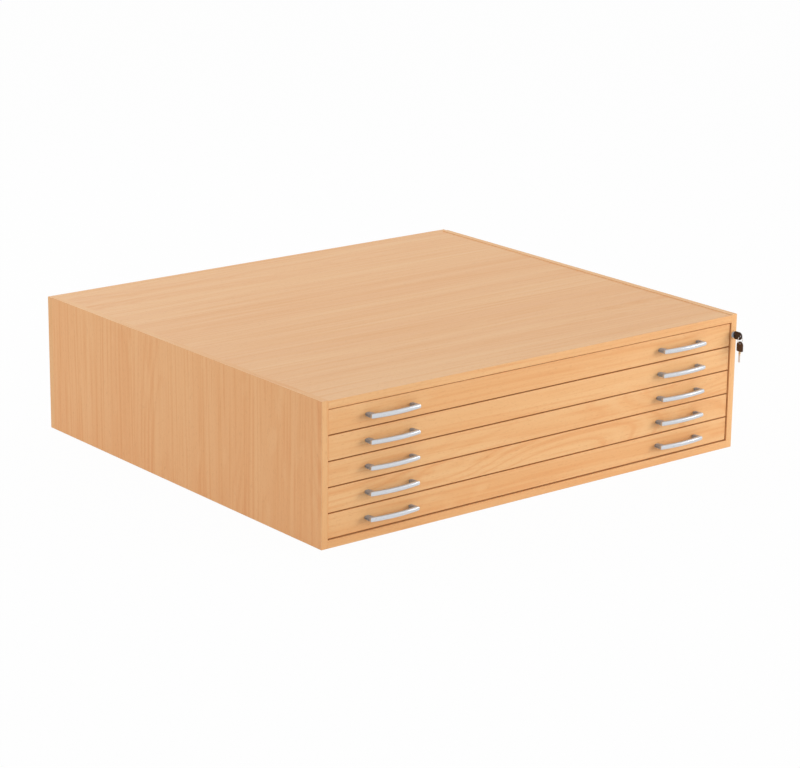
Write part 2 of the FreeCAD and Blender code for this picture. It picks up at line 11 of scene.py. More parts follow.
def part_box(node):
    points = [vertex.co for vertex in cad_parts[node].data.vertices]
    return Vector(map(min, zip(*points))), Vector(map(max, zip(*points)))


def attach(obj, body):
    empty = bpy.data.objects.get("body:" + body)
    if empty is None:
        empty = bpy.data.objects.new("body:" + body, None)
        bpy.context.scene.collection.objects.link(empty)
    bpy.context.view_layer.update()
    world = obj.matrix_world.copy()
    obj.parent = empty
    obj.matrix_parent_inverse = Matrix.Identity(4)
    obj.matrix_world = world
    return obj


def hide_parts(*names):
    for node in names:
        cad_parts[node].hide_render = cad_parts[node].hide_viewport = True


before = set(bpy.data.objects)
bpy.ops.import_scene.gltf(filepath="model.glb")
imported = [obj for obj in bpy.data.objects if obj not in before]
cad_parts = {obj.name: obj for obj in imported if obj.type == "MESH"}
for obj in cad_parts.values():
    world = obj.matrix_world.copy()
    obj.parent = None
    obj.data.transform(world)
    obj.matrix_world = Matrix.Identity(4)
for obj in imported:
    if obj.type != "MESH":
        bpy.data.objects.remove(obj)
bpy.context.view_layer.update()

bl_info = {
    "name": "Plan chest",
    "version": (1, 0, 0),
    "blender": (4, 5, 0),
    "location": "View3D > Sidebar > Plan chest",
    "description": "Boards, handles, slides, lock and keys of a plan chest with five shallow drawers",
    "category": "Add Mesh",
}

DRAWERS = range(1, 6)
X, Y, Z = 0, 1, 2
LOW, HIGH = 0, 1
WHITE = (1.0, 1.0, 1.0)

# Limits for picking vertices, faces and edges
NEAR = 1e-6
SQUARE_ON = 0.9
SHARP = math.radians(40)
CORNER = math.radians(60)

# Edge bands and beech prints of the boards
FRONT_EDGE = ((Y, LOW),)
SIDE_EDGES = ((Y, LOW), (Z, LOW), (Z, HIGH))
ALL_ROUND = ((X, LOW), (X, HIGH), (Z, LOW), (Z, HIGH))
# The top's tint makes its print bluer: painted sheen of the white surroundings seen at a grazing angle.
TOP_PRINT = {"figure": 0.45, "broad": 0.8, "thin": 0.35, "tint": (1.0, 1.0, 1.04)}
BOTTOM_PRINT = {"thin": 0.5}
# The sides' tint makes their print darker and warmer than the other boards': painted shade on the sides.
SIDE_PRINT = {"broad": 0.6, "thin": 0.65, "tint": (1.02, 0.950, 0.905)}
BACK_PRINT = {"broad": 0.8, "thin": 0.5}
BAND_PRINT = {"fine": 1.6, "figure": 0.3}
# The fronts' top and bottom bands are painted darker: painted shade along the gaps between the drawers.
FRONT_BAND_PAINTED_SHADE = (0.96, 0.90, 0.84)
CASE_PLAN = {
    "top_panel": ("case_top", Z, X, FRONT_EDGE, TOP_PRINT),
    "bottom_panel": ("case_bottom", Z, X, FRONT_EDGE, BOTTOM_PRINT),
    "left_side_panel": ("case_left_side", X, Z, SIDE_EDGES, SIDE_PRINT),
    "right_side_panel": ("case_right_side", X, Z, SIDE_EDGES, SIDE_PRINT),
    "back_panel": ("case_back", Y, X, ALL_ROUND, BACK_PRINT),
}
CASE_SHIFT = Vector((0.37, 0.61, 0.23))
FRONT_SHIFT = Vector((0.83, 0.29, 0.47))

# Shares of a piece's own size
SCREW_HEAD = (
    (0, 0.40), (0.30, 0.40), (0.40, 0.96), (0.60, 1.0), (0.88, 0.66), (1.0, 0.18), (1.0, 0), (0, 0)
)
SCREW_RISE = 0.55
COLLAR_RIM = ((0.80, 1.0), (0.90, 0.93), (0.97, 0.74), (1.0, 0.45), (1.0, 0.0))
COLLAR_MOUTH = 0.88
BUFFER_WIDTH, BUFFER_HEIGHT = 0.72, 0.56
GRIP_RADIUS, GRIP_STRETCH, GRIP_TAPER = 0.32, (1.15, 0.80, 1.0), (0.92, 0.92, 1.0)
RAIL_SCREW_PLACES = (0.06, 0.28, 0.50, 0.72, 0.94)

# Shares of a colour; the plug's and the keys' shares are painted shade and painted light
ZINC_SHARES = {"outer": 0.95, "middle": 1.0, "inner": 0.9}
# The plug is painted darker than the collar: painted shade in its bore.
PLUG_PAINTED_SHADE = 0.9
# The key in the lock is painted darker and the spare key lighter: painted shade and painted light on copies
# of one plastic.
KEY_PAINTED_LIGHT = {"key": 0.6, "spare_key": 1.3}

# Counts
ROUND_STEPS, SCREW_STEPS, COLLAR_STEPS = 24, 16, 48
BOW_STEPS, HOLLOW_STEPS, HEAD_STEPS = 18, 16, 20
RING_TURNS, RING_STEPS = 2, 96
BACK_ROW, BACK_COLUMN = 9, 3

# Turns of a key head from its plan: upright, and out of the lock
HEAD_UP = Matrix(((0, 0, -1), (1, 0, 0), (0, -1, 0))).to_4x4()
HEAD_OUT = Matrix(((0, 0, 1), (0, 1, 0), (-1, 0, 0))).to_4x4()

# Place, aim, and width and height of each lamp
LAMPS = {
    "front_light": ((3.2, -4.4, 1.1), (0.2, -0.5, 0.2), (2.4, 2.4)),
    "side_light": ((-4.6, 2.2, 1.4), (-0.6, 0.2, 0.2), (3.0, 3.0)),
    "top_light": ((-0.2, 2.4, 2.6), (0.0, 0.5, 0.3), (3.0, 3.0)),
    "strip_light": ((4.1, -3.2, 1.6), (0.0, -0.6, 0.2), (0.6, 1.6)),
}
UNREFLECTED_LAMP = "front_light"
SENSOR_WIDTH = 36.0
FLOOR_SIZE, FLOOR_DROP = 40.0, 0.0005

# Noise: repeats per metre along and across the grain, detail, and the values between which it fades in
Pattern = namedtuple("Pattern", "along across detail start end", defaults=(0.30, 0.70))
SWAY = Pattern(1.1, 5.0, 1.0)
STREAKS = Pattern(0.7, 22.0, 3.0, 0.34, 0.68)
LINES = Pattern(1.8, 150.0, 2.0, 0.46, 0.72)
NESTS = Pattern(1.5, 8.0, 0.5)
ZONES = Pattern(0.5, 3.4, 1.0, 0.46, 0.62)
SPOTS = Pattern(9.0, 30.0, 1.5, 0.58, 0.74)
FLECKS = Pattern(85.0, 800.0, 1.0, 0.63, 0.72)
MARKS = Pattern(9.0, 1500.0, 3.0)
BLOTS = Pattern(60.0, 60.0, 3.0, 0.50, 0.75)
STAINS = Pattern(24.0, 24.0, 4.0, 0.52, 0.78)
PITS = Pattern(2600.0, 2600.0, 2.0)
RUBS = Pattern(130.0, 130.0, 2.0, 0.55, 0.80)

# Ranges of noise that drive the gloss
EVEN, WIDE, UPPER = (0.30, 0.70), (0.25, 0.75), (0.35, 0.75)

# Beech: bend of the grain in metres, rings in a nest, parts of a ring, shares of each layer, gloss
SWAY_REACH = 0.030
NEST_RINGS, HALF_RING = 15.0, 0.5
PALE_RING, WARM_RING = (0.24, 0.46), (0.16, 0.02)
PALE_SHARE, WARM_SHARE, SPOT_SHARE, FLECK_SHARE = 0.55, 0.50, 0.55, 0.40
BEECH_ROUGH = (0.44, 0.52)

# Metal and plastic: shares of the darker and brighter tones; the plastic's darker pits are painted shade and
# its brighter rubbed places painted sheen
DULLING, BLOT_SHARE = 0.18, 0.45
PLATE_COOL, STAIN_TONE, STAIN_SHARE = (0.90, 0.92, 0.96), 0.74, 0.50
PIT_PAINTED_SHADE, RUB_PAINTED_SHEEN, RUB_SHARE = 0.75, 1.5, 0.5

# A second finish that takes over between two places along an axis
Fade = namedtuple("Fade", "tint axis start end metal")


# Sizes and colours


def size(name, default, description):
    """A length in metres that the sidebar shows in the scene's unit."""
    return FloatProperty(
        name=name, description=description, default=default, min=0.0, precision=5, subtype="DISTANCE"
    )


def colour(name, default, description):
    """A linear colour with a swatch in the sidebar."""
    return FloatVectorProperty(
        name=name, description=description, default=default, size=3, min=0.0, max=1.0, subtype="COLOR"
    )


def power(name, default, description):
    """The power of a lamp in watts."""
    return FloatProperty(name=name, description=description, default=default, min=0.0, unit="POWER")


def angle(name, degrees, description):
    """An angle that the sidebar shows in degrees."""
    return FloatProperty(name=name, description=description, default=math.radians(degrees), subtype="ANGLE")


class BoardSettings(PropertyGroup):
    """Edges of the boards and the colours of the beech print."""

    edge_round: size("Case edge round", 0.0006, "Radius on the edges of the case boards")
    front_round: size("Front edge round", 0.0004, "Radius on the edges of the drawer fronts")
    front_ease: size("Front ease", 0.0005, "Height taken off the lower edge of a drawer front")
    band_width: size("Edge band", 0.0012, "Thickness of the edge bands")
    bar_play: size("Bar play", 0.0005, "Room beside the locking bar in its channel")
    bar_foot: size("Bar foot room", 0.010, "Length of the channel below the locking bar")
    bar_head: size("Bar head room", 0.0015, "Length of the channel above the locking bar")
    ground: colour("Ground", (0.790, 0.422, 0.176), "Main colour of the beech print")
    pale: colour("Pale streaks", (0.825, 0.490, 0.226), "Colour of the pale streaks")
    warm: colour("Warm lines", (0.745, 0.345, 0.128), "Colour of the reddish lines")
    fleck: colour("Flecks", (0.560, 0.240, 0.085), "Colour of the short ray flecks")


class HandleSettings(PropertyGroup):
    """Shape and colour of the bow handles."""

    spacing: size("Leg spacing", 0.128, "Distance between the middles of the two legs")
    leg: size("Leg width", 0.013, "Width of a leg along the drawer front")
    bar: size("Bar thickness", 0.007, "Thickness of the bow")
    reach: size("Reach", 0.024, "How far the ends of the bow stand off the front")
    bow: size("Bow", 0.007, "How far the middle of the bow stands in front of its ends")
    crown: size("Crown", 0.0052, "Radius along the outer edges, which makes the face of the bow round")
    inner_round: size("Inner knee", 0.0025, "Radius inside the knees")
    edge_round: size("Inner edge round", 0.0012, "Radius along the edges towards the drawer front")
    foot: size("Foot height", 0.0095, "Height of the legs where they stand on the front")
    fade_out: size("Fade before the knee", 0.006, "How far the leg's grey reaches into the bow")
    fade_in: size("Fade behind the knee", 0.001, "Where behind the bow the leg's grey is full")
    satin: colour("Satin silver", (0.640, 0.665, 0.700), "Colour of the satin silver bows")
    leg_tone: colour("Leg grey", (0.330, 0.370, 0.430), "Colour of the matt grey legs")


class HardwareSettings(PropertyGroup):
    """Sizes and colours of the slides, the screws, the lock and the keys."""

    zinc: colour("Zinc plate", (0.500, 0.515, 0.535), "Colour of the zinc-plated slides")
    nickel: colour("Nickel plate", (0.560, 0.610, 0.680), "Colour of the lock's plated metal")
    bar_metal: colour("Locking bar", (0.740, 0.745, 0.750), "Colour of the drawn aluminium bar")
    key_metal: colour("Key blade", (0.720, 0.560, 0.330), "Colour of the brass of the keys")
    # The spare key's blade ends in a near-white, unmetallic tone: a painted highlight.
    key_tip_painted_highlight: colour("Key tip", (0.840, 0.840, 0.835), "Colour of the bright end of the spare key")
    key_plastic: colour("Key head", (0.058, 0.025, 0.012), "Colour of the moulded key heads")
    ring_metal: colour("Key ring", (0.900, 0.895, 0.885), "Colour of the split ring")
    buffer: colour("Slide buffer", (0.030, 0.031, 0.033), "Colour of the plastic buffers in the slides")
    rail_depth: size("Rail depth", 0.007, "Depth of the groove in the slides' inner members")
    buffer_length: size("Buffer length", 0.018, "Length of a buffer along its slide")
    buffer_setback: size("Buffer setback", 0.002, "Distance from the slide's front end to the buffer")
    buffer_round: size("Buffer corner", 0.003, "Radius on the corners of a buffer")
    buffer_rim: size("Buffer rim", 0.002, "Width of the rim round a buffer's hollow")
    buffer_hollow: size("Buffer hollow", 0.001, "Depth of a buffer's hollow")
    handle_screw: size("Handle screw", 0.0045, "Radius of the heads of the handle screws")
    rail_screw: size("Rail screw", 0.0040, "Radius of the heads of the screws in the slides")
    small_screw: size("Small screw", 0.0032, "Radius of the heads of the small screws")
    back_end: size("Back screw end", 0.045, "Distance from the ends of the back to the first screws of a row")
    back_edge: size("Back screw edge", 0.009, "Distance of the screws from the back's lower and side edges")
    back_top: size("Back screw top", 0.011, "Distance of the screws from the back's upper edge")
    plug_bore: size("Plug bore", 0.0051, "Radius of the bore that holds the lock's plug")
    bore_chamfer: size("Bore chamfer", 0.0003, "Chamfer round the mouth of the bore")
    collar_step: size("Collar step", 0.001, "How far the collar stands out round its housing")
    key_edge: size("Key head edge", 0.0008, "Radius on the edges of the key heads")
    key_corner: size("Key head corner", 0.003, "Radius on the corners beside the blade")
    key_bulge: size("Key head bulge", 0.009, "How far the round end of a key head stands out")
    key_eye: size("Key eye", 0.0023, "Radius of the eye in a key head")
    key_eye_margin: size("Key eye margin", 0.0055, "Distance from the eye's middle to the head's end")
    grip_shift: size("Grip shift", 0.0015, "How far the raised grip lies towards the blade")
    grip_height: size("Grip height", 0.0004, "Height of the raised grip")
    # The painted highlight at the end of the spare key's blade fades in between these two places.
    tip_start: size("Tip start", 0.003, "Distance from the head to where the brass begins to fade")
    tip_end: size("Tip end", 0.013, "Distance from the head to where the bright tip begins")
    ring_wire: size("Ring wire", 0.0014, "Width of the split ring's wire")
    ring_round: size("Ring wire round", 0.0003, "Radius on the edges of the wire")
    ring_gap: size("Ring gap", 0.0001, "Gap between the turns of the split ring")


class StageSettings(PropertyGroup):
    """Floor, light and camera."""

    floor: colour("Floor", (0.800, 0.800, 0.800), "Colour of the floor")
    whiteness: FloatProperty(
        name="Floor whiteness", description="Share of plain white in the floor as it is seen", default=0.97,
        min=0.0, max=1.0, subtype="FACTOR",
    )
    sky: FloatProperty(name="Sky", description="Strength of the even light all round", default=0.70, min=0.0)
    front_light: power("Front light", 117.0, "Power of the wide light before the chest")
    side_light: power("Side light", 41.0, "Power of the wide light beside the chest")
    top_light: power("Top light", 21.0, "Power of the wide light over the chest")
    strip_light: power("Strip light", 20.0, "Power of the narrow light at the right")
    camera_place: FloatVectorProperty(
        name="Camera", description="Place of the camera", default=(-4.029226, -5.074817, 2.038174), size=3,
        subtype="XYZ", unit="LENGTH",
    )
    azimuth: angle("Azimuth", -38.686, "Turn of the camera round the chest from its front")
    elevation: angle("Elevation", 16.326, "Angle of the camera above the floor")
    roll: angle("Roll", 0.712, "Turn of the camera about its line of sight")
    lens: FloatProperty(
        name="Lens", description="Focal length in millimetres on a frame 36 mm wide", default=120.38, min=1.0,
    )


# Materials


class Finish:
    """One material, its shader, and short ways to add and wire nodes."""

    def __init__(self, name, **shader):
        self.material = bpy.data.materials.new(name)
        self.material.use_nodes = True
        self.tree = self.material.node_tree
        self.shader = self.tree.nodes["Principled BSDF"]
        for socket, value in shader.items():
            self.shader.inputs[socket.replace("_", " ")].default_value = value

    def add(self, kind, inputs, **settings):
        """Adds a node with its settings; an input is a value or another node's socket."""
        made = self.tree.nodes.new(kind)
        for name, value in settings.items():
            setattr(made, name, value)
        for socket, value in inputs.items():
            if isinstance(value, bpy.types.NodeSocket):
                self.tree.links.new(value, made.inputs[socket])
            else:
                made.inputs[socket].default_value = value
        return made

    def link(self, value, socket):
        """Joins an output to one of the shader's inputs."""
        self.tree.links.new(value, self.shader.inputs[socket])

    def place(self):
        """Object coordinates."""
        return self.add("ShaderNodeTexCoord", {}).outputs["Object"]

    def grain(self, along, shift=(0.0, 0.0, 0.0)):
        """Object coordinates turned so that the grain runs along x, and shifted to a part of the pattern."""
        turn = {X: (0, 0, 0), Y: (0, 0, -math.pi / 2), Z: (0, math.pi / 2, 0)}[along]
        inputs = {"Vector": self.place(), "Rotation": turn, "Location": shift}
        return self.add("ShaderNodeMapping", inputs).outputs[0]

    def vector(self, operation, first, second):
        """Two vectors, combined."""
        return self.add("ShaderNodeVectorMath", {0: first, 1: second}, operation=operation).outputs[0]

    def number(self, operation, first, second):
        """Two numbers, combined."""
        return self.add("ShaderNodeMath", {0: first, 1: second}, operation=operation).outputs[0]

    def times(self, first, second):
        """Product of two numbers."""
        return self.number("MULTIPLY", first, second)

    def noise(self, vector, pattern, fine=1.0, output=0):
        """Noise drawn out as a pattern says, and finer across the grain by a factor."""
        across = pattern.across * fine
        drawn = self.vector("MULTIPLY", vector, (pattern.along, across, across))
        inputs = {"Vector": drawn, "Scale": 1.0, "Detail": pattern.detail}
        return self.add("ShaderNodeTexNoise", inputs).outputs[output]

    def spread(self, value, low, high, least=0.0, most=1.0):
        """Maps a range of a value smoothly onto another range."""
        inputs = {"Value": value, "From Min": low, "From Max": high, "To Min": least, "To Max": most}
        return self.add("ShaderNodeMapRange", inputs, interpolation_type="SMOOTHSTEP").outputs[0]

    def mask(self, noise, pattern, share=1.0):
        """A share of 0 to 1 where a pattern's noise fades in."""
        return self.times(self.spread(noise, pattern.start, pattern.end), share)

    def blend(self, share, first, second):
        """First colour changed towards the second by a share."""
        inputs = {0: share, 6: first, 7: second}
        for socket in (6, 7):
            if not isinstance(inputs[socket], bpy.types.NodeSocket):
                inputs[socket] = (*inputs[socket], 1.0)
        return self.add("ShaderNodeMix", inputs, data_type="RGBA").outputs[2]

    def bump(self, height, strength, distance):
        """Raises the surface by a height pattern."""
        made = self.add("ShaderNodeBump", {"Height": height, "Strength": strength, "Distance": distance})
        self.link(made.outputs[0], "Normal")


def shaded(tint, share):
    """A colour made darker or brighter."""
    return tuple(share * part for part in tint)


def tinted(tone, tint):
    """A colour with each part multiplied."""
    return tuple(part * share for part, share in zip(tone, tint))


def beech(name, along, shift, fine=1.0, figure=1.0, broad=1.0, thin=0.60, tint=WHITE):
    """Beech print: streaks, nested flame figure, pale spots, fine lines and ray flecks along the grain."""
    look = bpy.context.scene.chest_boards
    ground, pale, warm, fleck = (
        tinted(tone, tint) for tone in (look.ground, look.pale, look.warm, look.fleck)
    )
    mix = Finish(name, IOR=1.45)
    place = mix.grain(along, shift)
    sway = mix.vector("SUBTRACT", mix.noise(place, SWAY, output="Color"), (0.5, 0.5, 0.5))
    bent = mix.vector("ADD", place, mix.vector("MULTIPLY", sway, (0.0, SWAY_REACH, SWAY_REACH)))
    streaks = mix.noise(bent, STREAKS, fine)
    lines = mix.noise(bent, LINES, fine)
    nests = mix.times(mix.noise(bent, NESTS), NEST_RINGS)
    rings = mix.number("PINGPONG", nests, HALF_RING)
    zone = mix.mask(mix.noise(place, ZONES), ZONES, figure)
    broad_range = (0.5 - broad / 2, 0.5 + broad / 2)
    tone = mix.blend(mix.spread(streaks, STREAKS.start, STREAKS.end, *broad_range), ground, pale)
    tone = mix.blend(mix.mask(lines, LINES, thin), tone, warm)
    tone = mix.blend(mix.times(mix.spread(rings, *PALE_RING), mix.times(zone, PALE_SHARE)), tone, pale)
    tone = mix.blend(mix.times(mix.spread(rings, *WARM_RING), mix.times(zone, WARM_SHARE)), tone, warm)
    tone = mix.blend(mix.mask(mix.noise(bent, SPOTS), SPOTS, SPOT_SHARE * figure), tone, pale)
    tone = mix.blend(mix.mask(mix.noise(bent, FLECKS), FLECKS, FLECK_SHARE), tone, fleck)
    mix.link(tone, "Base Color")
    mix.link(mix.spread(lines, *EVEN, *BEECH_ROUGH), "Roughness")
    mix.bump(lines, strength=0.12, distance=0.0002)
    return mix.material


def brushed(name, tint, along, rough, metal=1.0, fade=None, wear=1.0):
    """Metal with fine marks along one direction, blots of tone, an uneven gloss and perhaps a fade."""
    mix = Finish(name, Metallic=metal)
    place = mix.grain(along)
    marks = mix.noise(place, MARKS)
    dull = shaded(tint, 1.0 - DULLING * wear)
    tone = mix.blend(mix.spread(marks, MARKS.start, MARKS.end), dull, tint)
    tone = mix.blend(mix.mask(mix.noise(place, BLOTS), BLOTS, BLOT_SHARE), tone, dull)
    if fade:
        height = mix.add("ShaderNodeSeparateXYZ", {0: mix.place()}).outputs[fade.axis]
        tone = mix.blend(mix.spread(height, fade.start, fade.end), tone, fade.tint)
        mix.link(mix.spread(height, fade.start, fade.end, metal, fade.metal), "Metallic")
    mix.link(tone, "Base Color")
    mix.link(mix.spread(marks, *WIDE, *rough), "Roughness")
    mix.bump(marks, strength=0.10 * wear, distance=0.0001)
    return mix.material


def plated(name, tint, cell, rough=(0.22, 0.34)):
    """Plated steel: a faint crystal pattern, handling marks and an uneven gloss."""
    mix = Finish(name, Metallic=1.0)
    place = mix.grain(X)
    crystals = mix.add("ShaderNodeTexVoronoi", {"Vector": place, "Scale": cell}).outputs["Color"]
    cells = mix.add("ShaderNodeSeparateColor", {0: crystals}).outputs[0]
    stains = mix.noise(place, STAINS)
    tone = mix.blend(cells, tinted(tint, PLATE_COOL), tint)
    tone = mix.blend(mix.mask(stains, STAINS, STAIN_SHARE), tone, shaded(tint, STAIN_TONE))
    mix.link(tone, "Base Color")
    mix.link(mix.spread(stains, *EVEN, *rough), "Roughness")
    mix.bump(stains, strength=0.06, distance=0.0002)
    return mix.material


def moulded(name, tint, polished=0.38, matt=0.52):
    """Moulded plastic with a fine spark-eroded grain, painted shade in its pits, and slight polish where
    fingers rub it, with a painted sheen there.
    """
    mix = Finish(name, IOR=1.49)
    place = mix.grain(X)
    pits_and_pit_shade = mix.noise(place, PITS)
    rubbed_and_sheen = mix.noise(place, RUBS)
    # Darker in the pits: painted shade; brighter where rubbed: painted sheen, while the polish itself is the
    # lower roughness.
    tone = mix.blend(mix.spread(pits_and_pit_shade, PITS.start, PITS.end), shaded(tint, PIT_PAINTED_SHADE), tint)
    tone = mix.blend(mix.mask(rubbed_and_sheen, RUBS, RUB_SHARE), tone, shaded(tint, RUB_PAINTED_SHEEN))
    mix.link(tone, "Base Color")
    mix.link(mix.spread(rubbed_and_sheen, *UPPER, matt, polished), "Roughness")
    mix.bump(pits_and_pit_shade, strength=0.25, distance=0.0001)
    return mix.material


# Modelling


def dress(node, material):
    """Gives a CAD node its finish."""
    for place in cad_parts[node].material_slots:
        place.material = material


def piece(name, bm, body, materials, nodes=()):
    """Makes a piece of a mesh, lets it ride on a body, and lets it stand for CAD nodes."""
    mesh = bpy.data.meshes.new(name)
    bm.to_mesh(mesh)
    bm.free()
    for material in materials:
        mesh.materials.append(material)
    made = bpy.data.objects.new(name, mesh)
    bpy.context.scene.collection.objects.link(made)
    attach(made, body)
    if nodes:
        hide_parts(*nodes)


def everything(bm):
    """All vertices, edges and faces of a mesh."""
    return bm.verts[:] + bm.edges[:] + bm.faces[:]


def only(kind, geom):
    """The vertices, edges or faces among mixed geometry."""
    return [part for part in geom if isinstance(part, kind)]


def axis_vector(axis, length):
    """A vector of a length along an axis."""
    vector = Vector((0, 0, 0))
    vector[axis] = length
    return vector


def block(low, high):
    """A block between two corners."""
    bm = bmesh.new()
    bmesh.ops.create_cube(bm, size=1.0)
    bmesh.ops.scale(bm, vec=high - low, verts=bm.verts)
    bmesh.ops.translate(bm, vec=(low + high) / 2, verts=bm.verts)
    return bm


def bevel(bm, geom, radius, segments, affect="EDGES"):
    """Rounds edges or corners to a radius."""
    bmesh.ops.bevel(
        bm, geom=geom, offset=radius, offset_type="OFFSET", affect=affect, segments=segments, profile=0.5,
        material=-1,
    )


def bisect(bm, axis, place):
    """Cuts the whole mesh along a plane across an axis, and keeps both sides."""
    bmesh.ops.bisect_plane(
        bm, geom=everything(bm), dist=NEAR, plane_co=axis_vector(axis, place), plane_no=axis_vector(axis, 1.0)
    )


def extruded(bm, faces, vector):
    """Draws faces out along a vector and returns the faces at the far end."""
    drawn = bmesh.ops.extrude_face_region(bm, geom=faces)["geom"]
    bmesh.ops.translate(bm, vec=vector, verts=only(bmesh.types.BMVert, drawn))
    return only(bmesh.types.BMFace, drawn)


def repeated(bm, geom, vector):
    """Copies geometry and moves the copy."""
    copy = bmesh.ops.duplicate(bm, geom=geom)["geom"]
    bmesh.ops.translate(bm, vec=vector, verts=only(bmesh.types.BMVert, copy))


def board(low, high, radius, flat, banded, width):
    """A board with rounded edges; slot 0 is its face, 1 and 2 are the bands along its two flat directions."""
    bm = block(low, high)
    bevel(bm, bm.edges[:], radius, segments=3)
    across = [axis for axis in (X, Y, Z) if axis != flat]
    seams = {
        (axis, side): high[axis] - width if side == HIGH else low[axis] + width for axis, side in banded
    }
    for axis, side in seams:
        bisect(bm, axis, seams[axis, side])
    for face in bm.faces:
        middle = face.calc_center_median()
        for axis, run in (across, across[::-1]):
            past_low = (axis, LOW) in seams and middle[axis] < seams[axis, LOW]
            past_high = (axis, HIGH) in seams and middle[axis] > seams[axis, HIGH]
            if past_low or past_high or abs(face.normal[axis]) > SQUARE_ON:
                face.material_index = 1 + across.index(run)
    return bm


def sink(bm, facing, axis, spans, depth):
    """Cuts a recess into the face that looks along an axis, between limits on the other axes."""
    for other, limits in spans.items():
        for place in limits:
            bisect(bm, other, place)
    chosen = []
    for face in bm.faces:
        middle = face.calc_center_median()
        inside = all(low < middle[other] < high for other, (low, high) in spans.items())
        if inside and face.normal[axis] * facing > SQUARE_ON:
            chosen.append(face)
    extruded(bm, chosen, axis_vector(axis, -facing * depth))
    bmesh.ops.delete(bm, geom=chosen, context="FACES_ONLY")
    bmesh.ops.recalc_face_normals(bm, faces=bm.faces[:])


def drawn_to(bm, vert, place):
    """Draws an edge from a vertex to a place in the plan and returns its end."""
    made = bmesh.ops.extrude_vert_indiv(bm, verts=[vert])["verts"][0]
    made.co = (*place, vert.co.z)
    return made


def swung(bm, vert, middle, turn, steps):
    """Draws an arc from a vertex round an upright axis and returns its end."""
    last = bmesh.ops.spin(
        bm, geom=[vert], cent=(*middle, vert.co.z), axis=(0, 0, 1), angle=turn, steps=steps, use_merge=False,
        use_duplicate=False,
    )["geom_last"]
    return only(bmesh.types.BMVert, last)[0]


def lathe(bm, profile, steps):
    """Turns a half section of (radius, height) about the z axis; it closes on itself or on the axis."""
    verts = [bm.verts.new((radius, 0.0, height)) for radius, height in profile]
    edges = [bm.edges.new(pair) for pair in zip(verts, verts[1:])]
    bmesh.ops.spin(
        bm, geom=verts + edges, cent=(0, 0, 0), axis=(0, 0, 1), angle=2 * math.pi, steps=steps,
        use_merge=True, use_duplicate=False,
    )
    bmesh.ops.remove_doubles(bm, verts=bm.verts[:], dist=NEAR)


def stand(bm, seat, facing):
    """Turns a mesh from the z axis to another direction and sets its origin at a seat."""
    turn = Vector(facing).to_track_quat("Z", "Y").to_matrix().to_4x4()
    bmesh.ops.transform(bm, matrix=Matrix.Translation(seat) @ turn, verts=bm.verts)


def smooth(bm):
    """Points the faces outwards and shades all but the sharp edges smoothly."""
    bmesh.ops.recalc_face_normals(bm, faces=bm.faces[:])
    for face in bm.faces:
        face.smooth = True
    for edge in bm.edges:
        edge.smooth = len(edge.link_faces) == 2 and edge.calc_face_angle(0.0) < SHARP


def screws(name, body, seats, facing, radius, material):
    """Makes a set of like domed screw heads with a round socket."""
    bm = bmesh.new()
    lathe(bm, [(radius * part, SCREW_RISE * radius * rise) for part, rise in SCREW_HEAD], SCREW_STEPS)
    stand(bm, seats[0], facing)
    smooth(bm)
    head = everything(bm)
    for seat in seats[1:]:
        repeated(bm, head, seat - seats[0])
    piece(name, bm, body, [material])


# Operators


class CHEST_OT_case(Operator):
    """Makes the five boards of the case with their edge bands"""

    bl_idname = "chest.case"
    bl_label = "Case boards"

    def channel(self, bm, face, look):
        """Sinks the channel of the locking bar into the inner face of the right side."""
        low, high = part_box("lock_bar")
        spans = {
            Y: (low.y - look.bar_play, high.y + look.bar_play),
            Z: (low.z - look.bar_foot, high.z + look.bar_head),
        }
        sink(bm, -1, X, spans, high.x - face + look.bar_play)

    def execute(self, context):
        look = context.scene.chest_boards
        for count, (node, (name, flat, along, banded, weights)) in enumerate(CASE_PLAN.items()):
            low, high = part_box(node)
            bm = board(low, high, look.edge_round, flat, banded, look.band_width)
            if node == "right_side_panel":
                self.channel(bm, low.x, look)
            across = [axis for axis in (X, Y, Z) if axis != flat]
            shift = count * CASE_SHIFT
            looks = [beech(f"{name}_print", along, shift, **weights)]
            looks += [beech(f"{name}_band_{'xyz'[run]}", run, shift, **BAND_PRINT) for run in across]
            piece(name, bm, "case", looks, (node,))
        dress("case_tongues", beech("tongue_wood", X, (0.2, 0.7, 0.1), fine=2.0, figure=0.2))
        return {"FINISHED"}


class CHEST_OT_fronts(Operator):
    """Makes the five drawer fronts, banded on all edges"""

    bl_idname = "chest.fronts"
    bl_label = "Drawer fronts"

    def execute(self, context):
        look = context.scene.chest_boards
        ends = beech("front_end_band", Z, (0.9, 0.3, 0.5), fine=1.6, figure=0.2)
        for count in DRAWERS:
            low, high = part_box(f"drawer_{count}_front")
            low.z += look.front_ease
            bm = board(low, high, look.front_round, Y, ALL_ROUND, look.band_width)
            shift = count * FRONT_SHIFT
            face = beech(f"front_{count}_print", X, shift)
            # This band covers the front's top and bottom edges; its darker tint is painted shade in the gaps.
            band = beech(f"front_{count}_band", X, shift, **BAND_PRINT, tint=FRONT_BAND_PAINTED_SHADE)
            nodes = (f"drawer_{count}_front",)
            piece(f"front_{count}", bm, f"drawer_{count}", [face, band, ends], nodes)
        return {"FINISHED"}


class CHEST_OT_boxes(Operator):
    """Finishes the sides, backs and bases of the drawers"""

    bl_idname = "chest.boxes"
    bl_label = "Drawer boxes"

    def execute(self, context):
        sides = beech("drawer_side_print", Y, (0.4, 0.8, 0.6), fine=1.4, figure=0.4)
        backs = beech("drawer_back_print", X, (0.7, 0.2, 0.9), fine=1.4, figure=0.4)
        bases = beech("drawer_base_print", X, (0.1, 0.5, 0.3), figure=0.7)
        for count in DRAWERS:
            dress(f"drawer_{count}_sides", sides)
            dress(f"drawer_{count}_back", backs)
            dress(f"drawer_{count}_base", bases)
        return {"FINISHED"}


